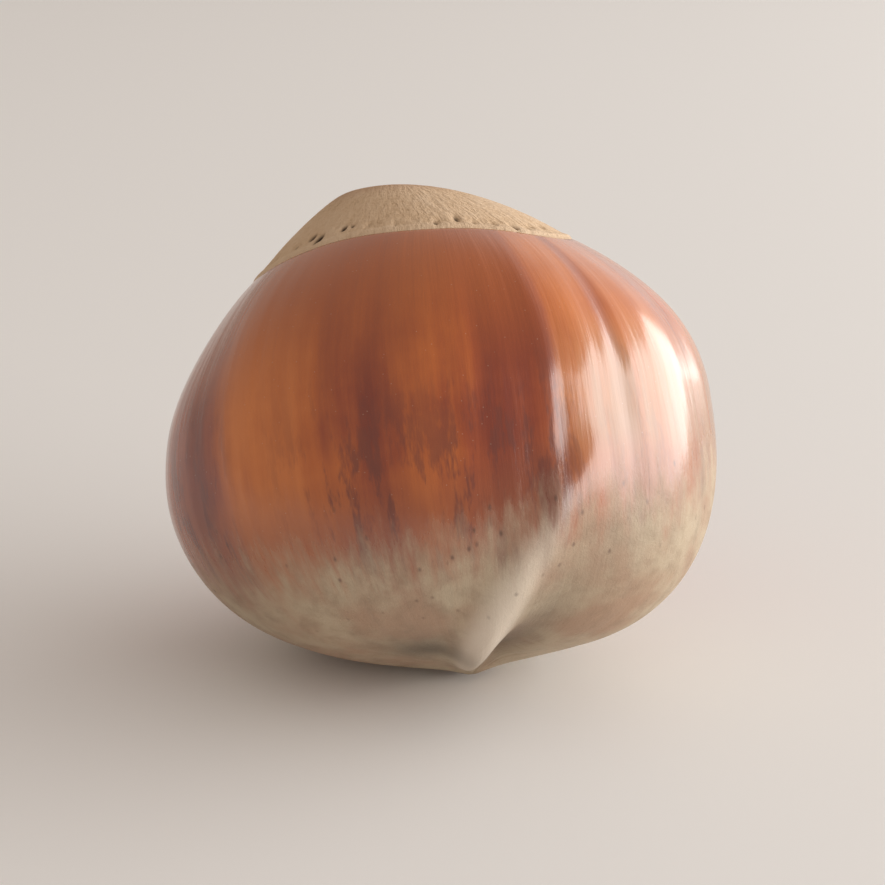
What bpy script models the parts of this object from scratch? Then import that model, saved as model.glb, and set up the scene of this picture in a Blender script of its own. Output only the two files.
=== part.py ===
"""A ripe hazelnut in its shell, one piece, lying on its underside.

Units are metres and +Z is up. The viewer stands on the -Y side with +X to the right.
The origin is the middle of the small flat that the nut rests on. The nut is shaped
upright first, with its tip down and its scar up, in multiples of RADIUS. Then it is
leaned back, cut flat where it rests, and moved so that the flat is at the origin.
"""
import math

import bmesh
import bpy
from mathutils import Matrix, Vector

# Driving dimensions. All but RADIUS are shares of it, or degrees.
RADIUS = 0.011              # half the width across the shell
FRONT_BACK_SHARE = 0.95     # the shell is a little narrower from front to back
TIP_LENGTH = 0.88           # widest line down to the root of the beak
SHOULDER_LENGTH = 0.78      # half height of the ellipse above the widest line
FULL_FRONT = 2.9            # roundness of the lower shell: 2 is an ellipse, 3 is squarer
FULL_BACK = 1.95
BEAK_HEIGHT = 0.055
BEAK_RADIUS = 0.13
SCAR_RADIUS = 0.62          # pale cap where the nut sat in its husk
SCAR_LONGER_FRONT = 0.030   # the cap reaches this much farther at the front,
SCAR_LONGER_LEFT = 0.055    # and this much farther at the left
SCAR_TOP = 0.895            # height of the cap's middle
SCAR_SHIFT = 0.12           # the middle of the cap lies this far left of the nut's axis
KNOB_SHARE = 0.32           # on the left the cap rises straight to a blunt knob of this size
KNOB_SOFTNESS = 0.14
BOWL_POWER = 1.8            # on the right it is a dome: 2 is round, 1 is a cone
KEEL_FROM = 0.22            # distance from the axis where a keel is highest
KEEL_CURVE = 0.80           # radians that it turns to the right for each RADIUS that it climbs
KEEL_CURVE_FROM = -0.74     # the height where its place around the nut is the one listed below
KEEL_TOP = 0.10             # it has faded out this far below the widest line,
KEEL_FULL = 0.55            # and is at its full height from here down
LEAN_BACK = 25.0            # degrees that the scar leans away from the viewer
LEAN_LEFT = 6.5             # degrees that it leans to the left
FLAT_DEPTH = 0.018          # how much the underside is flattened

# Places where the shell swells or is pressed in, as it does when nuts grow side by side:
# degrees up from the tip, degrees right of the front, width in degrees, and amount.
SWELLS = (
    (46, 54, 25, 0.085),
    (52, -62, 28, 0.020),
    (78, -75, 26, 0.070),
    (110, -74, 24, -0.035),
    (150, -60, 30, 0.03),
    (85, 30, 30, -0.04),
    (122, 60, 28, -0.055),
)

# Ridges that run up from the tip, and with a negative height hollows beside them:
# degrees right of the front, height, half width, and how far they reach.
KEELS = (
    (11, 0.080, 0.062, 0.65),
    (27, -0.070, 0.075, 0.50),
)

# Places where the cap's rim runs farther out, or with a negative amount in:
# degrees right of the front, width in degrees, and amount.
RIM_TURNS = (
    (-20, 35, -0.045),
    (60, 20, 0.020),
)

# The primitive's rings, from the tip: lower shell, shoulder, scar.
SEGMENTS = 64
LOWER_RINGS = 20
SHOULDER_RINGS = 10
SCAR_RINGS = 10

SHELL_COLOUR = (0.262, 0.090, 0.035, 1.0)
SHELL_ROUGHNESS = 0.38


def remove_everything():
    for thing in list(bpy.data.objects):
        bpy.data.objects.remove(thing, do_unlink=True)


def lower_shell(turn, facing):
    """Radius and height below the widest line. turn goes from 0 at the tip to a quarter turn."""
    fullness = (FULL_FRONT + FULL_BACK) / 2 + (FULL_FRONT - FULL_BACK) / 2 * facing
    out = math.sin(turn)
    down = math.cos(turn)
    reach = (out ** fullness + (down / TIP_LENGTH) ** fullness) ** (-1 / fullness)
    beak = BEAK_HEIGHT * math.exp(-(reach * out / BEAK_RADIUS) ** 1.5)
    return reach * out, -reach * down - beak


def rim_radius(around):
    """Distance from the axis to the cap's rim. around is 0 at the front, positive to the right."""
    radius = SCAR_RADIUS + SCAR_LONGER_FRONT * math.cos(around) - SCAR_LONGER_LEFT * math.sin(around)
    for turn, width, amount in RIM_TURNS:
        radius += amount * math.exp(-((math.degrees(around) - turn) / width) ** 2)
    return radius


def shoulder(share, rim):
    """Radius and height above the widest line. share is 0 there and 1 at the cap's rim."""
    turn = share * math.acos(rim)
    return math.cos(turn), SHOULDER_LENGTH * math.sin(turn)


def soft_positive(value):
    """The value where it is well above 0, and close to 0 where it is below."""
    return (value + math.sqrt(value ** 2 + KNOB_SOFTNESS ** 2)) / 2


def knob(out):
    """From 0 at the cap's rim to 1 in its middle: a straight slope that ends in a blunt knob."""
    slope = soft_positive(1 - (1 - out) / (1 - KNOB_SHARE))
    at_rim = soft_positive(1.0)
    at_middle = soft_positive(-KNOB_SHARE / (1 - KNOB_SHARE))
    return (at_rim - slope) / (at_rim - at_middle)


def scar(share, rim, around):
    """Radius, height and shift to the left on the pale cap. share is 0 at its rim and 1 in its middle."""
    out = 1 - share
    left = 0.5 - 0.5 * math.sin(around)
    rise = left * knob(out) + (1 - left) * (1 - out ** BOWL_POWER)
    rim_height = SHOULDER_LENGTH * math.sqrt(1 - rim ** 2)
    return rim * out, rim_height + (SCAR_TOP - rim_height) * rise, SCAR_SHIFT * share


def outline(ring, around):
    """Radius, height and shift to the left of a point, given its ring from the tip and its angle."""
    if ring <= LOWER_RINGS:
        return *lower_shell(math.pi / 2 * ring / LOWER_RINGS, math.cos(around)), 0.0
    ring -= LOWER_RINGS
    rim = rim_radius(around)
    if ring <= SHOULDER_RINGS:
        return *shoulder(ring / SHOULDER_RINGS, rim), 0.0
    return scar((ring - SHOULDER_RINGS) / SCAR_RINGS, rim, around)


def direction(up_from_tip, around):
    """Unit vector at a place on the shell, both angles in degrees."""
    up = math.radians(up_from_tip)
    turn = math.radians(around)
    return Vector((math.sin(up) * math.sin(turn), -math.sin(up) * math.cos(turn), -math.cos(up)))


def swelling(point):
    """How far the shell stands out at a point, as a factor on its distance from the middle."""
    factor = 1.0
    for up_from_tip, around, width, amount in SWELLS:
        away = point.angle(direction(up_from_tip, around)) / math.radians(width)
        factor += amount * math.exp(-away ** 2)
    return factor


def keel(point, around, height, width, reach):
    """Height of a ridge on the lower shell, or of the hollow beside it. Both curve to the right."""
    turn = math.radians(around) + KEEL_CURVE * (point.z - KEEL_CURVE_FROM)
    along = point.x * math.sin(turn) - point.y * math.cos(turn)
    across = point.x * math.cos(turn) + point.y * math.sin(turn)
    if point.z > 0 or along < 0:
        return 0.0
    fade = math.exp(-((along - KEEL_FROM) / reach) ** 2) * min(1.0, along / KEEL_FROM)
    fade *= max(0.0, min(1.0, (-point.z - KEEL_TOP) / (KEEL_FULL - KEEL_TOP)))
    return height * fade * math.exp(-(across / (width * (0.8 + 0.9 * along))) ** 2)


def nut_point(unit_point):
    """Where a vertex of the unit sphere goes on the upright nut, in multiples of RADIUS."""
    rings = LOWER_RINGS + SHOULDER_RINGS + SCAR_RINGS
    ring = round(rings * math.acos(max(-1.0, min(1.0, -unit_point.z))) / math.pi)
    around = math.atan2(unit_point.x, -unit_point.y)
    facing = math.cos(around)
    radius, height, shift = outline(ring, around)
    point = Vector((radius * math.sin(around) - shift, -radius * facing * FRONT_BACK_SHARE, height))
    return point * (swelling(point) + sum(keel(point, *place) for place in KEELS))


def lean_and_size():
    """The turn that lays the upright nut down, with its real size."""
    back = Matrix.Rotation(math.radians(-LEAN_BACK), 4, "X")
    left = Matrix.Rotation(math.radians(-LEAN_LEFT), 4, "Y")
    return left @ back @ Matrix.Scale(RADIUS, 4)


def flatten_underside(mesh):
    """Cut the lowest part away, close the cut, and put its middle at the origin."""
    floor = min(vertex.co.z for vertex in mesh.verts) + FLAT_DEPTH * RADIUS
    everything = mesh.verts[:] + mesh.edges[:] + mesh.faces[:]
    cut = bmesh.ops.bisect_plane(
        mesh, geom=everything, dist=1e-7, plane_co=(0, 0, floor), plane_no=(0, 0, 1), clear_inner=True
    )
    rim = [item for item in cut["geom_cut"] if isinstance(item, bmesh.types.BMEdge)]
    flat = bmesh.ops.contextual_create(mesh, geom=rim)["faces"][0]
    bmesh.ops.recalc_face_normals(mesh, faces=mesh.faces[:])
    bmesh.ops.translate(mesh, verts=mesh.verts[:], vec=-flat.calc_center_median_weighted())


def shell_material():
    material = bpy.data.materials.new("hazelnut_shell")
    material.use_nodes = True
    shader = material.node_tree.nodes["Principled BSDF"]
    shader.inputs["Base Color"].default_value = SHELL_COLOUR
    shader.inputs["Roughness"].default_value = SHELL_ROUGHNESS
    shader.inputs["Metallic"].default_value = 0.0
    return material


def build_hazelnut(collection):
    """A sphere whose rings are moved onto the nut's outline."""
    shape = bmesh.new()
    rings = LOWER_RINGS + SHOULDER_RINGS + SCAR_RINGS
    bmesh.ops.create_uvsphere(shape, u_segments=SEGMENTS, v_segments=rings, radius=1.0)
    for vertex in shape.verts:
        vertex.co = nut_point(vertex.co)
    bmesh.ops.transform(shape, matrix=lean_and_size(), verts=shape.verts[:])
    flatten_underside(shape)
    mesh = bpy.data.meshes.new("hazelnut")
    shape.to_mesh(mesh)
    shape.free()
    mesh.shade_smooth()
    mesh.materials.append(shell_material())
    nut = bpy.data.objects.new("hazelnut", mesh)
    collection.objects.link(nut)
    return nut


def main():
    remove_everything()
    collection = bpy.data.collections.new("hazelnut")
    bpy.context.scene.collection.children.link(collection)
    build_hazelnut(collection)


main()
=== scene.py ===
# %% [markdown]
# # A hazelnut in its shell
#
# A ripe hazelnut is one closed woody shell with three kinds of surface. Most of it is
# smooth brown wood with light and dark stripes that run from the tip to the other end.
# A grey down covers the tip. A pale rough scar shows where the nut sat in its husk.
# This lesson builds the shell as one fine mesh, paints its surfaces with nodes, and
# lights it beside a window.
#
# The frame is a plain solid nut of the right size, in the right place. It is loaded
# first, because every measure below comes from it.

# %% Load the frame
import math

import bmesh
import bpy
import numpy as np
from mathutils import Matrix, Vector, noise


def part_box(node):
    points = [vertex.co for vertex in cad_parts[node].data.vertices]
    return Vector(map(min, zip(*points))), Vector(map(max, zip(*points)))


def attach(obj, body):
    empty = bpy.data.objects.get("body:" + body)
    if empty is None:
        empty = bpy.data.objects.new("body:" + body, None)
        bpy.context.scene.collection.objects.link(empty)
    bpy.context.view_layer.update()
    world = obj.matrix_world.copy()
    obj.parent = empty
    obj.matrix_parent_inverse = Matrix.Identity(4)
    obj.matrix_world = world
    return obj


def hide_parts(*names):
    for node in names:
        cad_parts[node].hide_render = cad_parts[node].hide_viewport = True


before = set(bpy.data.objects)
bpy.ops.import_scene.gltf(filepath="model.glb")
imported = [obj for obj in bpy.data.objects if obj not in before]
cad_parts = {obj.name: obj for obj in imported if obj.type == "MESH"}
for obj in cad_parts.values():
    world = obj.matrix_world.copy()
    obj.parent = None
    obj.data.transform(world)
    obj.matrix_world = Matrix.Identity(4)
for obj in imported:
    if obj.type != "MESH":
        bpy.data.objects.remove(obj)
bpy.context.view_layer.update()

# %% [markdown]
# ## One measure for everything
#
# Nuts come in many sizes but keep their proportions, so the lesson works in half
# widths of the shell. The frame tells how wide the solid nut is, and its swells make
# it a little wider than two half widths.

# %% The half width
WIDTH_IN_RADII = 2.043
solid_low, solid_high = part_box("hazelnut")
middle = (solid_low + solid_high) / 2
radius = (solid_high.x - solid_low.x) / WIDTH_IN_RADII
print(f"half width {radius * 1000:.2f} mm, height {solid_high.z * 1000:.2f} mm")

# %% [markdown]
# ## Camera
#
# The nut lies on a table and is seen from a little above, from close by. The camera
# looks down by 18 degrees from about ten half widths away. A nut that near shows
# perspective, so the distance matters as much as the angle. The lens is then chosen
# for the share of the picture's width that the nut should fill.

# %% Set the camera
LOOK_DOWN = math.radians(18)
CAMERA_DISTANCE = 9.5
NUT_SHARE_OF_PICTURE = 0.62
AIM_LOWER = 0.06
SENSOR = 36.0


def add_camera():
    camera = bpy.data.objects.new("camera", bpy.data.cameras.new("camera"))
    bpy.context.scene.collection.objects.link(camera)
    toward_viewer = Vector((0, -math.cos(LOOK_DOWN), math.sin(LOOK_DOWN)))
    aim = middle - Vector((0, 0, AIM_LOWER * radius))
    camera.location = aim + toward_viewer * CAMERA_DISTANCE * radius
    camera.rotation_euler = (-toward_viewer).to_track_quat("-Z", "Y").to_euler()
    camera.data.sensor_width = SENSOR
    camera.data.lens = SENSOR * CAMERA_DISTANCE * NUT_SHARE_OF_PICTURE / WIDTH_IN_RADII
    camera.data.clip_start = radius / 10
    bpy.context.scene.camera = camera
    print(f"lens {camera.data.lens:.0f} mm")


add_camera()

# %% [markdown]
# ## Floor and light
#
# The shell has a satin gloss, so what one sees is mostly what it mirrors. A broad
# window to the right, slightly above the table, draws the tall pale bands on that side
# of the nut. The room fills the rest. It is white and bright behind the window's side,
# where it gives the pale right edge, and warm and dim on the other side and above, so
# that the wood there keeps its colour. An area light makes the window, and the world
# makes the room, with a strength that depends on the direction only. The plain view
# transform keeps browns as saturated as the materials make them.

# %% Build the floor and the lights
FLOOR_SIZE = 1.6
FLOOR_COLOUR = (0.92, 0.92, 0.92, 1)
FLOOR_ROUGHNESS = 0.7
WINDOW_TURN = math.radians(90)
WINDOW_RISE = math.radians(15.5)
WINDOW_DISTANCE = 0.30
WINDOW_WIDTH = 0.61
WINDOW_HEIGHT = 0.16
WINDOW_WATTS = 1.22
WINDOW_COLOUR = (1.0, 0.985, 0.965)
ROOM_BRIGHT_SIDE = Vector((0.80, 0.50, -0.15)).normalized()
ROOM_FADE_FROM = 0.22
ROOM_DIM = 0.46
ROOM_BRIGHT = 1.12
ROOM_WARM = (1.0, 0.87, 0.76, 1)
ROOM_WHITE = (1.0, 0.995, 0.985, 1)


def add_floor():
    bpy.ops.mesh.primitive_plane_add(size=FLOOR_SIZE, location=(0, 0, 0))
    floor = bpy.context.active_object
    floor.name = "table_top"
    material = bpy.data.materials.new("pale_table")
    material.use_nodes = True
    shader = material.node_tree.nodes["Principled BSDF"]
    shader.inputs["Base Color"].default_value = FLOOR_COLOUR
    shader.inputs["Roughness"].default_value = FLOOR_ROUGHNESS
    floor.data.materials.append(material)


def add_window():
    """A wide soft light that faces the nut. Turn 0 is the viewer's side, 90 degrees the right."""
    light = bpy.data.lights.new("window", "AREA")
    light.shape = "RECTANGLE"
    light.size = WINDOW_WIDTH
    light.size_y = WINDOW_HEIGHT
    light.energy = WINDOW_WATTS
    light.color = WINDOW_COLOUR
    window = bpy.data.objects.new("window", light)
    bpy.context.scene.collection.objects.link(window)
    level = math.cos(WINDOW_RISE)
    toward = Vector((
        level * math.sin(WINDOW_TURN), -level * math.cos(WINDOW_TURN), math.sin(WINDOW_RISE)
    ))
    window.location = middle + toward * WINDOW_DISTANCE
    window.rotation_euler = (-toward).to_track_quat("-Z", "Y").to_euler()


def light_room():
    """A room that is white and bright on the window's side, warm and dim on the other."""
    world = bpy.data.worlds.new("room")
    bpy.context.scene.world = world
    world.use_nodes = True
    nodes, links = world.node_tree.nodes, world.node_tree.links
    facing = nodes.new("ShaderNodeTexCoord")
    toward = nodes.new("ShaderNodeVectorMath")
    toward.operation = "DOT_PRODUCT"
    toward.inputs[1].default_value = ROOM_BRIGHT_SIDE
    links.new(facing.outputs["Generated"], toward.inputs[0])
    fade = nodes.new("ShaderNodeMapRange")
    fade.interpolation_type = "SMOOTHSTEP"
    fade.inputs["From Min"].default_value = ROOM_FADE_FROM
    links.new(toward.outputs["Value"], fade.inputs["Value"])
    strength = nodes.new("ShaderNodeMapRange")
    strength.inputs["To Min"].default_value = ROOM_DIM
    strength.inputs["To Max"].default_value = ROOM_BRIGHT
    links.new(fade.outputs[0], strength.inputs["Value"])
    colour = nodes.new("ShaderNodeMix")
    colour.data_type = "RGBA"
    colour.inputs[6].default_value = ROOM_WARM
    colour.inputs[7].default_value = ROOM_WHITE
    links.new(fade.outputs[0], colour.inputs["Factor"])
    background = nodes["Background"]
    links.new(colour.outputs[2], background.inputs["Color"])
    links.new(strength.outputs[0], background.inputs["Strength"])
    bpy.context.scene.view_settings.view_transform = "Standard"


add_floor()
add_window()
light_room()
print("floor, window and room are in place")

# %% [markdown]
# ## The shell's form
#
# A hazelnut isn't a ball. Its lower half is squarer on the side that grew outward, its
# shoulder is rounder, and the scar is a low dome with its middle a little off the axis.
# One could sculpt this by hand. Here a sphere made of rings is reshaped by a profile
# instead, because a profile puts rings exactly where detail is needed: close together
# on the scar, wider apart on the plain wood.

# %% Rings and profile
SEGMENTS = 360
LOWER_RINGS = 110
SHOULDER_RINGS = 50
SCAR_RINGS = 80
RINGS = LOWER_RINGS + SHOULDER_RINGS + SCAR_RINGS

FRONT_BACK_SHARE = 0.95
TIP_LENGTH = 0.88
SHOULDER_LENGTH = 0.78
FULL_FRONT = 2.9            # roundness of the lower half: 2 is an ellipse, 3 is squarer
FULL_BACK = 1.95
BEAK_HEIGHT = 0.055
BEAK_RADIUS = 0.13
BEAK_SHARPNESS = 1.5
SCAR_RADIUS = 0.62
RIM_LONGER_FRONT = 0.030
RIM_LONGER_LEFT = 0.055
RIM_TURNS = (
    # degrees right of the front, width in degrees, how far the rim runs out or, below 0, in
    (-20, 35, -0.045),
    (60, 20, 0.020),
)
RIM_WAVES = (
    # how many around the rim, height, start in radians
    (3, 0.009, -1.1),
    (7, 0.005, 2.0),
)
SCAR_TOP = 0.895
SCAR_SHIFT = 0.12
KNOB_SHARE = 0.32
KNOB_SOFTNESS = 0.14
BOWL_POWER = 1.8            # roundness of the dome: 2 is round, 1 is a cone


def smooth_step(value, low, high):
    share = np.clip((value - low) / (high - low), 0, 1)
    return share * share * (3 - 2 * share)


def lower_profile(turn, facing):
    """Radius and height below the widest line, on a superellipse with a small beak."""
    fullness = (FULL_FRONT + FULL_BACK) / 2 + (FULL_FRONT - FULL_BACK) / 2 * facing
    out = np.sin(turn)
    down = np.cos(turn)
    reach = (out ** fullness + (down / TIP_LENGTH) ** fullness) ** (-1 / fullness)
    beak = BEAK_HEIGHT * np.exp(-(reach * out / BEAK_RADIUS) ** BEAK_SHARPNESS)
    return reach * out, -reach * down - beak


def rim_radius(around):
    """The scar's edge isn't a true circle: it is longer on some sides, and it wavers."""
    out = SCAR_RADIUS + RIM_LONGER_FRONT * np.cos(around) - RIM_LONGER_LEFT * np.sin(around)
    for turn, width, amount in RIM_TURNS:
        away = (np.degrees(around) - turn + 180) % 360 - 180
        out = out + amount * np.exp(-(away / width) ** 2)
    for waves, amount, start in RIM_WAVES:
        out = out + amount * np.sin(waves * around + start)
    return out


def soft_positive(value):
    """The value where it is well above 0, and close to 0 where it is below."""
    return (value + np.sqrt(value ** 2 + KNOB_SOFTNESS ** 2)) / 2


def knob(out):
    """From 0 at the scar's edge to 1 in its middle: a straight slope that ends in a blunt knob."""
    slope = soft_positive(1 - (1 - out) / (1 - KNOB_SHARE))
    at_edge = soft_positive(1.0)
    at_middle = soft_positive(-KNOB_SHARE / (1 - KNOB_SHARE))
    return (at_edge - slope) / (at_edge - at_middle)


def dome_height(out, around):
    """Height on the scar, from 0 to 1: the slope and knob at the left, a dome at the right."""
    left = 0.5 - 0.5 * np.sin(around)
    return left * knob(out) + (1 - left) * (1 - out ** BOWL_POWER)


def profile(ring, around):
    """Radius, height and shift to the left for every point, given its ring and angle."""
    turn = np.clip(ring / LOWER_RINGS, 0, 1) * math.pi / 2
    shoulder = np.clip((ring - LOWER_RINGS) / SHOULDER_RINGS, 0, 1)
    share = np.clip((ring - LOWER_RINGS - SHOULDER_RINGS) / SCAR_RINGS, 0, 1)
    rim = rim_radius(around)
    reach, height = lower_profile(turn, np.cos(around))
    climb = shoulder * np.arccos(rim)
    reach = np.where(shoulder > 0, np.cos(climb), reach)
    height = np.where(shoulder > 0, SHOULDER_LENGTH * np.sin(climb), height)
    out = 1 - share
    rim_height = SHOULDER_LENGTH * np.sqrt(1 - rim ** 2)
    dome = rim_height + (SCAR_TOP - rim_height) * dome_height(out, around)
    reach = np.where(share > 0, rim * out, reach)
    height = np.where(share > 0, dome, height)
    return reach, height, share


def unit_sphere():
    ball = bmesh.new()
    bmesh.ops.create_uvsphere(ball, u_segments=SEGMENTS, v_segments=RINGS, radius=1.0)
    mesh = bpy.data.meshes.new("shell")
    ball.to_mesh(mesh)
    ball.free()
    return mesh


def read_points(mesh):
    flat = np.empty(len(mesh.vertices) * 3)
    mesh.vertices.foreach_get("co", flat)
    return flat.reshape(-1, 3)


shell_mesh = unit_sphere()
sphere = read_points(shell_mesh)
ring = np.rint(RINGS * np.arccos(np.clip(-sphere[:, 2], -1, 1)) / math.pi)
around = np.arctan2(sphere[:, 0], -sphere[:, 1])
reach, height, share = profile(ring, around)
upright = np.stack([
    reach * np.sin(around) - SCAR_SHIFT * share,
    -reach * np.cos(around) * FRONT_BACK_SHARE,
    height,
], axis=1)
on_scar = share > 0
print(len(upright), "points,", int(on_scar.sum()), "of them on the scar")

# %% [markdown]
# ## Swells and keels
#
# Nuts grow in tight clusters and press on each other, so each has its own full and
# hollow places. Wide soft swells, each given by a place, a width and an amount, make
# them. Ridges called keels run up from the tip, where the two halves of the shell
# met. The one at the front is the strongest. It curves to the right as it climbs, and a
# hollow runs along its right flank.

# %% Add the swells and keels
SWELLS = (
    # degrees up from the tip, degrees right of the front, width in degrees, amount
    (46, 54, 25, 0.085),
    (52, -62, 28, 0.020),
    (78, -75, 26, 0.070),
    (110, -74, 24, -0.035),
    (150, -60, 30, 0.03),
    (85, 30, 30, -0.04),
    (122, 60, 28, -0.055),
)
KEELS = (
    # degrees right of the front, height, half width, length
    (11, 0.080, 0.062, 0.65),
    (27, -0.070, 0.075, 0.50),
    (-24, 0.008, 0.060, 0.35),
    (-62, 0.014, 0.070, 0.40),
    (96, 0.014, 0.070, 0.40),
    (158, 0.022, 0.060, 0.42),
    (-140, 0.010, 0.070, 0.38),
)
KEEL_TIP = 0.02             # distances from the axis where a keel starts,
KEEL_START = 0.22           # and where it is highest
KEEL_TOP = 0.10             # it has faded out this far below the widest line,
KEEL_FULL = 0.55            # and is at its full height from here down
KEEL_CURVE = 0.80           # radians that it turns for each half width that it climbs
KEEL_CURVE_FROM = -0.74
KEEL_NARROW = 0.8           # share of its width at the axis,
KEEL_WIDENING = 0.9         # and how much that share grows for each half width outwards


def swelling(points):
    directions = points / np.linalg.norm(points, axis=1, keepdims=True)
    total = np.zeros(len(points))
    for up, turn, width, amount in SWELLS:
        up, turn = math.radians(up), math.radians(turn)
        centre = (math.sin(up) * math.sin(turn), -math.sin(up) * math.cos(turn), -math.cos(up))
        away = np.arccos(np.clip(directions @ centre, -1, 1)) / math.radians(width)
        total += amount * np.exp(-away ** 2)
    return total


def keel(points, turn, amount, width, length):
    """A ridge, or with a negative amount a hollow. It starts at the tip and curves to the right."""
    turn = math.radians(turn) + KEEL_CURVE * (points[:, 2] - KEEL_CURVE_FROM)
    along = points[:, 0] * np.sin(turn) - points[:, 1] * np.cos(turn)
    across = points[:, 0] * np.cos(turn) + points[:, 1] * np.sin(turn)
    fade = np.exp(-((along - KEEL_START) / length) ** 2) * smooth_step(along, KEEL_TIP, KEEL_START)
    fade *= smooth_step(-points[:, 2], KEEL_TOP, KEEL_FULL)
    return amount * fade * np.exp(-(across / (width * (KEEL_NARROW + KEEL_WIDENING * along))) ** 2)


keels = np.zeros(len(upright))
for place in KEELS:
    keels += keel(upright, *place)
main_keel = np.clip(keel(upright, *KEELS[0]) / KEELS[0][1], 0, 1)
# Mask for the painted shade in the hollow beside the main keel.
keel_hollow_shade = np.clip(keel(upright, *KEELS[1]) / KEELS[1][1], 0, 1)
upright *= (1 + swelling(upright) + keels)[:, None]
print(f"keels stand out up to {keels.max() * radius * 1000:.2f} mm")

# %% [markdown]
# ## Stripes and flutes
#
# The stripes follow fibres in the wood, and a shallow groove or rib goes with most of
# them, so one list gives both. Each entry is a place around the nut, how light the wood is
# there and how far it stands out. The front half of the list is given stripe by
# stripe. Smooth steps between the entries keep the ribs soft, and a little random
# wander stops the stripes from looking ruled. Finer ribs and wide shallow dents, both
# from smooth random values, keep the gloss from looking machined.

# %% Place the stripes
STRIPES = (
    # degrees right of the front, lightness from dark at 0 to light at 1, height
    (-168, 0.70, 0.005), (-155, 0.20, -0.006), (-143, 0.65, 0.005), (-131, 0.35, -0.005),
    (-118, 0.80, 0.006), (-106, 0.25, -0.006), (-95, 0.60, 0.004), (-84, 0.30, -0.004),
    # The entry at -57 degrees is a dark stripe made darker still by painted shade along the left
    # side.
    (-75, 0.35, 0.001), (-57, 0.05, -0.006), (-43, 1.05, 0.006), (-30, 0.80, 0.002),
    (-20, 0.35, -0.003), (-12, 0.20, -0.004), (-2, 0.55, 0.005), (4, 0.38, 0.003),
    (9, 0.05, -0.003), (13, -0.05, -0.002), (18, -0.05, -0.001), (24, 0.05, 0.008),
    (28, 0.60, 0.003), (33, 0.84, 0.004), (39, 0.80, -0.003), (43, 0.32, -0.010),
    (47, 0.75, -0.002), (56, 0.80, 0.005), (66, 0.50, -0.003), (76, 0.75, 0.004),
    (88, 0.30, -0.006), (100, 0.70, 0.005), (111, 0.25, -0.006), (124, 0.75, 0.006),
    (134, 0.30, -0.006), (147, 0.70, 0.006), (158, 0.20, -0.006), (169, 0.65, 0.004),
    (180, 0.35, -0.004),
)
WANDER = 2.5
RIB_HEIGHT = 0.0020
FINE_RIB_HEIGHT = 0.0006
DENT_HEIGHT = 0.006


def random_field(points, scale, seed):
    """Smooth random values between about -1 and 1, the same on every run."""
    offset = Vector((seed * 7.31, seed * 3.17, seed * 5.93))
    stretch = Vector(scale)
    return np.array([noise.noise(Vector(point) * stretch + offset) for point in points])


def around_nut(entries, column, degrees):
    """Values from a list of places around the nut, joined by smooth steps."""
    places = np.array([entry[0] for entry in entries], float)
    values = np.array([entry[column] for entry in entries], float)
    places = np.concatenate([[places[-1] - 360], places, [places[0] + 360]])
    values = np.concatenate([[values[-1]], values, [values[0]]])
    step = np.clip(np.searchsorted(places, degrees) - 1, 0, len(places) - 2)
    part = smooth_step(degrees, places[step], places[step + 1])
    return values[step] * (1 - part) + values[step + 1] * part


meridian = np.stack([np.cos(around), np.sin(around), height], axis=1)
degrees = np.degrees(around) + WANDER * random_field(meridian, (2.0, 2.0, 1.4), 1)
degrees = (degrees + 180) % 360 - 180
stripe = around_nut(STRIPES, 1, degrees)
flute = around_nut(STRIPES, 2, degrees)
flute *= smooth_step(height, -0.75, -0.30) * smooth_step(-height, -0.60, -0.25)
ribs = RIB_HEIGHT * random_field(meridian, (13, 13, 0.9), 2)
ribs += FINE_RIB_HEIGHT * random_field(meridian, (34, 34, 1.3), 3)
ribs *= smooth_step(-height, -0.62, -0.50)
dents = DENT_HEIGHT * random_field(upright, (2.4, 2.4, 2.4), 4)
upright *= (1 + (flute + ribs) * ~on_scar + dents)[:, None]
print(f"flutes: {np.ptp(flute) * radius * 1000:.2f} mm between rib and groove")

# %% [markdown]
# ## The scar
#
# The nut was fed through this disc, and tearing it from the husk left a corky face.
# Around its edge runs a smooth pale lip. Inside the lip lies a ring of small pores, the
# ends of the vessels, some round and some drawn out into short slots. From there fibres
# run inwards and fade into a smoother, redder middle. They are faint at the front, where
# the face is worn smooth. Painted dots would look flat in raking light, so the lip, the
# pores and the fibres are pressed into the mesh.

# %% Press the scar's details
LIP_WIDTH = 0.05
LIP_HEIGHT = 0.008
SEAM_DEPTH = 0.016
SEAM_WIDTH = 0.018
PORES = 76
PORE_DEPTH = 0.026
FIBRE_HEIGHT = 0.020
FIBRE_PART = 0.6            # share of the relief that runs inwards, the rest is wrinkles
CORK_MEAN = 0.62
WORN = 0.93                 # share of the fibres' relief that is gone at the front
DIP_DEPTH = 0.012


def pores(points):
    """How deep each point lies in a pore, from 0 to 1. Each pore has its own size and stretch."""
    chance = np.random.default_rng(11)
    depth = np.zeros(len(points))
    for count in range(PORES):
        turn = math.radians(360 * (count + chance.uniform(-0.35, 0.35)) / PORES)
        inward = chance.uniform(0.06, 0.15)
        size = chance.uniform(0.007, 0.014)
        stretch = chance.uniform(1.1, 2.4)
        deepest = chance.uniform(0.05, 1.0)
        outward = np.array([math.sin(turn), -math.cos(turn) * FRONT_BACK_SHARE])
        centre = rim_radius(turn) * (1 - inward) * outward - np.array([SCAR_SHIFT * inward, 0])
        offset = points[:, :2] - centre
        along = offset @ outward
        across = offset @ np.array([-outward[1], outward[0]])
        away = np.hypot(along / stretch, across)
        depth = np.maximum(depth, deepest * np.exp(-away ** 2 / size ** 2))
    return depth


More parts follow.
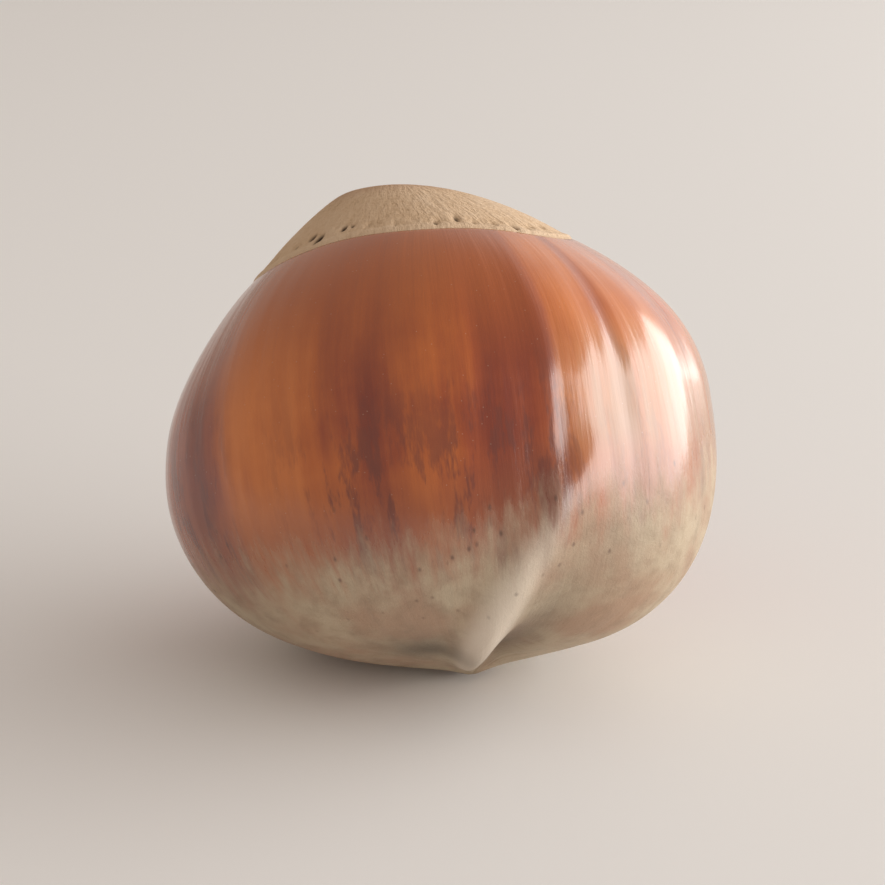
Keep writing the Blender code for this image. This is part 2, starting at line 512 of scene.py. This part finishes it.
fibre_place = np.stack([np.cos(around), np.sin(around), share], axis=1)
fibres = 1 - np.abs(random_field(fibre_place, (11, 11, 4.5), 5)) * 2
wrinkles = 1 - np.abs(random_field(upright, (11, 11, 11), 6)) * 2
fibre_zone = smooth_step(share, 0.07, 0.13) * smooth_step(-share, -0.80, -0.45)
unworn = 1 - WORN * smooth_step(np.cos(around), -0.4, 0.45)
cork = (FIBRE_PART * fibres + (1 - FIBRE_PART) * wrinkles - CORK_MEAN) * fibre_zone * unworn
pore = pores(upright) * on_scar
lip = np.exp(-((share - LIP_WIDTH / 2) / (LIP_WIDTH / 2)) ** 2)
seam = np.exp(-(share / SEAM_WIDTH) ** 2)
dip = smooth_step(share, 0.55, 1.0)
scar_relief = FIBRE_HEIGHT * cork + LIP_HEIGHT * lip
scar_relief -= SEAM_DEPTH * seam + PORE_DEPTH * pore + DIP_DEPTH * dip
upright[:, 2] += scar_relief * on_scar
print(f"{PORES} pores, cork relief {np.ptp(scar_relief[on_scar]) * radius * 1000:.2f} mm")

# %% [markdown]
# ## Lay the nut down
#
# Up to now the nut stands on its tip. On a table it rolls over until its weight is
# above the spot it touches, with the scar up and away from the viewer. It gets the
# lean of the frame's solid and its real size, and is moved into that solid's box. What
# would sink below the table becomes the small flat that it rests on.

# %% Lean, scale and settle
LEAN_BACK = math.radians(25.0)
LEAN_LEFT = math.radians(6.5)
FLAT_DEPTH = 0.018


def lay_down(points):
    lean = Matrix.Rotation(-LEAN_LEFT, 3, "Y") @ Matrix.Rotation(-LEAN_BACK, 3, "X")
    lying = points @ np.array(lean).T * radius
    low, high = lying.min(axis=0), lying.max(axis=0)
    lying[:, 0] += middle.x - (low[0] + high[0]) / 2
    lying[:, 1] += middle.y - (low[1] + high[1]) / 2
    lying[:, 2] -= low[2] + FLAT_DEPTH * radius
    lying[:, 2] = np.maximum(lying[:, 2], 0)
    return lying


lying = lay_down(upright)
shell_mesh.vertices.foreach_set("co", lying.ravel())
shell_mesh.update()
shell_mesh.shade_smooth()
shell = bpy.data.objects.new("hazelnut_shell", shell_mesh)
bpy.context.scene.collection.objects.link(shell)
print("the nut measures", [round(float(size) * 1000, 2) for size in np.ptp(lying, axis=0)], "mm")

# %% [markdown]
# ## Places for the paint
#
# Wood colour follows the nut, not the table, so the materials need to know where on the
# nut each point lies. These values are stored on the mesh: the place along and
# around the nut, the stripes, the edge of the down, a painted highlight above it, the strip next to
# the scar, the main keel and the painted shade in its hollow, painted shade left of the beak, and
# the parts of the scar.

# %% Store the places on the mesh
DOWN_EDGE = (
    # degrees right of the front, height of the edge of the down
    (-130, -0.42), (-75, -0.44), (-40, -0.50), (-10, -0.53), (8, -0.50),
    (24, -0.42), (52, -0.36), (80, -0.20), (110, -0.30), (150, -0.44), (180, -0.48),
)
# Painted shade in the saddle left of the beak: its place and size in half widths.
BEAK_SHADE_PLACE = (-0.14, -0.43)
BEAK_SHADE_SIZE = (0.16, 0.11)
RIM_STRIP = 0.85            # how far the strip next to the scar hides the stripes,
RIM_STRIP_LESS = 0.50       # and how much less it does at the right front


def store(name, values):
    kind = "FLOAT" if values.ndim == 1 else "FLOAT_VECTOR"
    layer = shell_mesh.attributes.new(name, kind, "POINT")
    layer.data.foreach_set(
        "value" if values.ndim == 1 else "vector", values.astype(np.float32).ravel()
    )


right_front = smooth_step(around, 0.25, 0.60) * smooth_step(-around, -2.0, -1.4)
near_rim = smooth_step(height, -0.05, 0.50) * (RIM_STRIP - RIM_STRIP_LESS * right_front)
# Painted highlight: paler, duller wood at the right front, where the window's bands fall.
painted_highlight = smooth_step(around, 0.36, 0.62) * smooth_step(-around, -2.2, -1.7)
painted_highlight *= smooth_step(-height, -0.34, 0.04) * smooth_step(height, -0.36, -0.14)
# Painted shade left of the beak, on the lower half only.
beak_shade = np.exp(-(((upright[:, :2] - BEAK_SHADE_PLACE) / BEAK_SHADE_SIZE) ** 2).sum(axis=1)) * (height < 0)
below_down_edge = around_nut(DOWN_EDGE, 1, np.degrees(around)) - height

LAYERS = {
    "meridian": meridian, "upright": upright, "fibre_place": fibre_place, "stripe": stripe,
    "below_down_edge": below_down_edge, "near_rim": near_rim, "painted_highlight": painted_highlight,
    "main_keel": main_keel, "keel_hollow_shade": keel_hollow_shade, "beak_shade": beak_shade,
    "share": share, "pore": pore, "cork": cork,
}
for name, values in LAYERS.items():
    store(name, values)
print("stored:", ", ".join(LAYERS))

# %% [markdown]
# ## A few words for nodes
#
# Node trees written out in full hide what they do. These short helpers read a stored
# value, make noise, and mix numbers or colours, so that each material below reads like
# a recipe.

# %% Node helpers
def put(tree, value, socket):
    """Set a socket, or link it if the value comes from another node."""
    if isinstance(value, bpy.types.NodeSocket):
        tree.links.new(value, socket)
    else:
        socket.default_value = value


def stored(tree, name, output="Fac"):
    node = tree.nodes.new("ShaderNodeAttribute")
    node.attribute_name = name
    return node.outputs[output]


def calculate(tree, operation, first, second):
    node = tree.nodes.new("ShaderNodeMath")
    node.operation = operation
    put(tree, first, node.inputs[0])
    put(tree, second, node.inputs[1])
    return node.outputs[0]


def plus(tree, first, *others):
    for other in others:
        first = calculate(tree, "ADD", first, other)
    return first


def times(tree, first, second):
    return calculate(tree, "MULTIPLY", first, second)


def less(tree, first, second):
    return calculate(tree, "SUBTRACT", first, second)


def swing(tree, noise_value, amount):
    """Noise between 0 and 1 made into a push up or down by at most half the amount."""
    return times(tree, less(tree, noise_value, 0.5), amount)


def spread(tree, value, low, high, to_low=0.0, to_high=1.0):
    """A smooth step from to_low to to_high as the value goes from low to high."""
    node = tree.nodes.new("ShaderNodeMapRange")
    node.interpolation_type = "SMOOTHSTEP"
    sockets = ("From Min", "From Max", "To Min", "To Max")
    for name, number in zip(sockets, (low, high, to_low, to_high)):
        node.inputs[name].default_value = number
    put(tree, value, node.inputs["Value"])
    return node.outputs[0]


def stretched(tree, place, stretch, shift):
    """A stored place, stretched by three scales and moved."""
    mapping = tree.nodes.new("ShaderNodeMapping")
    mapping.inputs["Scale"].default_value = stretch
    mapping.inputs["Location"].default_value = shift
    put(tree, stored(tree, place, "Vector"), mapping.inputs["Vector"])
    return mapping.outputs[0]


def grain(tree, place, stretch, detail=3.0, rough=0.55, shift=0.0):
    """Noise on a stored place."""
    node = tree.nodes.new("ShaderNodeTexNoise")
    node.inputs["Scale"].default_value = 1.0
    node.inputs["Detail"].default_value = detail
    node.inputs["Roughness"].default_value = rough
    where = stretched(tree, place, stretch, (shift, shift * 0.7, shift * 1.3))
    put(tree, where, node.inputs["Vector"])
    return node.outputs["Fac"]


def specks(tree, place, stretch, size, shift):
    """Round spots, 1 in the middle and 0 beyond their size."""
    node = tree.nodes.new("ShaderNodeTexVoronoi")
    node.inputs["Scale"].default_value = 1.0
    put(tree, stretched(tree, place, stretch, (shift, shift, shift)), node.inputs["Vector"])
    return spread(tree, node.outputs["Distance"], 0.0, size, 1.0, 0.0)


def blend(tree, factor, first, second):
    """From the first colour at factor 0 to the second at 1."""
    node = tree.nodes.new("ShaderNodeMix")
    node.data_type = "RGBA"
    put(tree, factor, node.inputs["Factor"])
    for colour, socket in ((first, node.inputs[6]), (second, node.inputs[7])):
        put(tree, (*colour, 1) if isinstance(colour, tuple) else colour, socket)
    return node.outputs[2]


def bands(tree, value, stops):
    """A colour ramp from (place, colour) stops."""
    node = tree.nodes.new("ShaderNodeValToRGB")
    ramp = node.color_ramp
    while len(ramp.elements) < len(stops):
        ramp.elements.new(0.5)
    for element, (place, colour) in zip(ramp.elements, stops):
        element.position = place
        element.color = (*colour, 1)
    put(tree, value, node.inputs[0])
    return node.outputs[0]


def bump(tree, height_value, distance, strength, below=None):
    node = tree.nodes.new("ShaderNodeBump")
    node.inputs["Distance"].default_value = distance
    node.inputs["Strength"].default_value = strength
    put(tree, height_value, node.inputs["Height"])
    if below is not None:
        put(tree, below, node.inputs["Normal"])
    return node.outputs[0]


def new_material(name):
    material = bpy.data.materials.new(name)
    material.use_nodes = True
    tree = material.node_tree
    return material, tree, tree.nodes["Principled BSDF"]


print("helpers ready")

# %% [markdown]
# ## Wood and down
#
# The wood's colour is a ramp from red-brown to orange-tan. What picks the place on the
# ramp is the stored stripe, broken up by noise that is stretched along the meridians, so
# that it looks like fibre. Near the scar the stripes melt into an even brown. Toward the
# down they sink into a haze, and just above it the dark ones look bruised and torn. At
# the right front, where the window's pale bands fall, a painted highlight pales the wood
# and dulls its orange.
#
# The down is a second colour laid over the lower end, with a ragged edge that runs up
# between the fibres. It is mottled and palest on the main keel, where pale worn down
# carries a painted highlight. Painted shade darkens the hollow beside the keel and the
# place left of the beak. It hides the gloss as well, so the same mask
# drives roughness and coat. Last come small dark dots along its edge and a few pale
# crumbs.

# %% Paint the wood and the down
DARK_WOOD = (0.215, 0.028, 0.007)
RED_WOOD = (0.325, 0.056, 0.010)
BROWN_WOOD = (0.500, 0.118, 0.016)
TAN_WOOD = (0.680, 0.200, 0.038)
BRUISE = (0.150, 0.030, 0.018)
HAZE = (0.280, 0.080, 0.032)
RIM_BROWN = (0.430, 0.098, 0.012)
# Colour of the painted highlight at the right front.
PAINTED_HIGHLIGHT_TINT = (0.390, 0.228, 0.125)
DOWN_DARK = (0.290, 0.210, 0.135)
DOWN_PALE = (0.515, 0.425, 0.295)
DOWN_PINK = (0.420, 0.285, 0.190)
# Pale worn down on the main keel, brightened as a painted highlight.
KEEL_PALE_HIGHLIGHT = (0.78, 0.69, 0.57)
# Colour of the painted shade in the hollow beside the main keel.
HOLLOW_SHADE_COLOUR = (0.20, 0.155, 0.11)
# Colour of the painted shade left of the beak.
BEAK_SHADE_DARK = (0.12, 0.10, 0.065)
DOT_DARK = (0.07, 0.025, 0.012)
CRUMB_PALE = (0.62, 0.48, 0.34)

WOOD_ROUGHNESS = 0.17
FIBRE_ROUGHNESS = 0.08
DOWN_ROUGHNESS = 0.40
COAT = 0.55


def wood_colour(tree, fibres, patches):
    strands = grain(tree, "meridian", (17, 17, 1.5), 3, shift=3.1)
    tone = plus(
        tree, stored(tree, "stripe"),
        swing(tree, strands, 0.6), swing(tree, fibres, 0.14), swing(tree, patches, 0.9),
    )
    wood = bands(tree, tone, (
        (0.0, DARK_WOOD), (0.25, RED_WOOD), (0.55, BROWN_WOOD), (0.95, TAN_WOOD)
    ))
    below = stored(tree, "below_down_edge")
    wood = blend(tree, spread(tree, below, -0.32, -0.02, 0.0, 0.65), wood, HAZE)
    torn = spread(tree, grain(tree, "meridian", (13, 13, 3.2), 4, 0.7, shift=2.6), 0.48, 0.60)
    belt = spread(tree, below, -0.70, -0.20)
    dark_stripe = less(tree, 1.0, spread(tree, stored(tree, "stripe"), 0.3, 1.1))
    bruise = times(tree, times(tree, torn, belt), dark_stripe)
    wood = blend(tree, times(tree, bruise, 0.75), wood, BRUISE)
    wood = blend(tree, stored(tree, "near_rim"), wood, RIM_BROWN)
    # Painted highlight at the right front, laid on in streaks along the fibres.
    highlight_streaks = spread(tree, strands, 0.30, 0.60, 0.40, 0.78)
    return blend(tree, times(tree, stored(tree, "painted_highlight"), highlight_streaks), wood, PAINTED_HIGHLIGHT_TINT)


def down_colour(tree, patches, ridge):
    colour = blend(tree, spread(tree, patches, 0.38, 0.62), DOWN_PALE, DOWN_PINK)
    mottle = grain(tree, "upright", (12, 12, 12), 5, 0.6, shift=8.8)
    colour = blend(tree, spread(tree, mottle, 0.42, 0.72, 0.0, 0.5), colour, DOWN_DARK)
    # The main keel: pale worn down with a painted highlight.
    colour = blend(tree, ridge, colour, KEEL_PALE_HIGHLIGHT)
    # Painted shade in the hollow beside the main keel.
    colour = blend(tree, times(tree, stored(tree, "keel_hollow_shade"), 0.85), colour, HOLLOW_SHADE_COLOUR)
    # Painted shade left of the beak.
    return blend(tree, times(tree, stored(tree, "beak_shade"), 0.9), colour, BEAK_SHADE_DARK)


def add_spots(tree, colour):
    """Dark dots along the edge of the down, and pale crumbs everywhere."""
    below = stored(tree, "below_down_edge")
    band = times(tree, spread(tree, below, -0.30, -0.02), spread(tree, below, 0.10, 0.34, 1.0, 0.0))
    dots = times(tree, specks(tree, "upright", (16, 16, 9), 0.17, 2.0), band)
    colour = blend(tree, times(tree, dots, 0.75), colour, DOT_DARK)
    crumbs = specks(tree, "upright", (30, 30, 30), 0.10, 9.0)
    return blend(tree, times(tree, crumbs, 0.35), colour, CRUMB_PALE)


def shell_material():
    material, tree, shader = new_material("hazelnut_wood")
    fibres = grain(tree, "meridian", (38, 38, 2.6), 4)
    patches = grain(tree, "upright", (3.2, 3.2, 3.2), 3, shift=7.7)
    ragged = grain(tree, "meridian", (20, 20, 6.0), 4, 0.65, shift=5.2)
    # The main keel: it takes the down's roughness, and its colour carries a painted highlight.
    ridge = times(tree, spread(tree, stored(tree, "main_keel"), 0.06, 0.62), 0.9)
    edge = plus(tree, stored(tree, "below_down_edge"), swing(tree, ragged, 0.36))
    down = calculate(tree, "MAXIMUM", spread(tree, edge, -0.12, 0.17), ridge)
    wood = wood_colour(tree, fibres, patches)
    colour = blend(tree, times(tree, down, 0.9), wood, down_colour(tree, patches, ridge))
    put(tree, add_spots(tree, colour), shader.inputs["Base Color"])

    rough = plus(
        tree, WOOD_ROUGHNESS, times(tree, fibres, FIBRE_ROUGHNESS), times(tree, down, DOWN_ROUGHNESS)
    )
    put(tree, rough, shader.inputs["Roughness"])
    put(tree, less(tree, COAT, times(tree, down, COAT)), shader.inputs["Coat Weight"])
    shader.inputs["Coat Roughness"].default_value = 0.16
    shader.inputs["Specular IOR Level"].default_value = 0.75

    fine = bump(tree, fibres, 0.00010, 0.20)
    fuzz = grain(tree, "upright", (95, 95, 95), 4, 0.7, shift=1.4)
    put(tree, bump(tree, times(tree, fuzz, down), 0.00012, 0.30, fine), shader.inputs["Normal"])
    return material


wood_and_down = shell_material()
print("wood and down:", len(wood_and_down.node_tree.nodes), "nodes")

# %% [markdown]
# ## Cork on the scar
#
# The scar is dry and matte, the colour of straw. Ridges catch dust and look pale, with a
# painted highlight on them, gaps between fibres carry painted shade, and the pores are
# painted darker still, as shade in their hollows. The middle is
# smoother and redder, the lip is pale, and a thin brown line parts it from the wood.
# All of that is already in the relief, so the stored relief drives the colour, and
# noise only adds what is finer than the mesh.

# %% Paint the scar
# Colour of the gaps between fibres: painted shade.
CORK_GAP_SHADE = (0.200, 0.110, 0.055)
CORK_DARK = (0.480, 0.320, 0.190)
CORK = (0.690, 0.490, 0.315)
CORK_PALE = (0.780, 0.595, 0.425)
CORK_RED = (0.460, 0.255, 0.150)
PORE_SHADE = (0.045, 0.024, 0.012)
RIM_LINE = (0.11, 0.045, 0.02)


def scar_material():
    material, tree, shader = new_material("hazelnut_scar")
    threads = grain(tree, "fibre_place", (26, 26, 12), 4, 0.6)
    cloud = grain(tree, "upright", (5, 5, 5), 4, 0.6, shift=6.1)
    crumbs = grain(tree, "upright", (60, 60, 60), 4, 0.65)
    share_in = stored(tree, "share")
    centre = spread(tree, share_in, 0.45, 0.72)
    edge_only = less(tree, 0.35, times(tree, centre, 0.35))
    level = plus(
        tree, times(tree, stored(tree, "cork"), 0.9), 0.60, swing(tree, threads, edge_only),
        swing(tree, cloud, 0.8), swing(tree, crumbs, 0.7),
    )
    # Painted shade in the gaps and a pale painted highlight with dust on the ridges, both from the
    # relief.
    colour = bands(tree, level, ((0.0, CORK_GAP_SHADE), (0.28, CORK_DARK), (0.5, CORK), (0.95, CORK_PALE)))
    colour = blend(tree, times(tree, centre, 0.7), colour, CORK_RED)
    colour = blend(tree, spread(tree, share_in, 0.03, 0.085, 0.4, 0.0), colour, CORK_PALE)
    # Pores painted near black, as shade in their hollows.
    colour = blend(tree, spread(tree, stored(tree, "pore"), 0.15, 0.6), colour, PORE_SHADE)
    colour = blend(tree, spread(tree, share_in, 0.0, 0.014, 0.7, 0.0), colour, RIM_LINE)
    put(tree, colour, shader.inputs["Base Color"])
    shader.inputs["Roughness"].default_value = 0.86
    shader.inputs["Specular IOR Level"].default_value = 0.3
    rough_face = bump(tree, threads, 0.00016, 0.6)
    put(tree, bump(tree, crumbs, 0.00010, 0.6, rough_face), shader.inputs["Normal"])
    return material


cork_material = scar_material()
print("cork:", len(cork_material.node_tree.nodes), "nodes")

# %% [markdown]
# ## Give each face its finish
#
# The wood and the scar meet at a clean line, the ring of points at the rim, so each
# face takes one finish or the other. A face with any point on the scar is cork.

# %% Assign the finishes
shell_mesh.materials.append(wood_and_down)
shell_mesh.materials.append(cork_material)
corner_point = np.empty(len(shell_mesh.loops), int)
shell_mesh.loops.foreach_get("vertex_index", corner_point)
first_corner = np.empty(len(shell_mesh.polygons), int)
shell_mesh.polygons.foreach_get("loop_start", first_corner)
scar_face = np.maximum.reduceat(on_scar[corner_point], first_corner)
shell_mesh.polygons.foreach_set("material_index", scar_face.astype(np.int32))
print(int(scar_face.sum()), "faces of cork,", int((~scar_face).sum()), "of wood")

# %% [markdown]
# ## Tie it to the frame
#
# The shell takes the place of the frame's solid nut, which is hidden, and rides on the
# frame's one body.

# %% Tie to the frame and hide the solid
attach(shell, "root")
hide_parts("hazelnut")
bpy.context.view_layer.update()
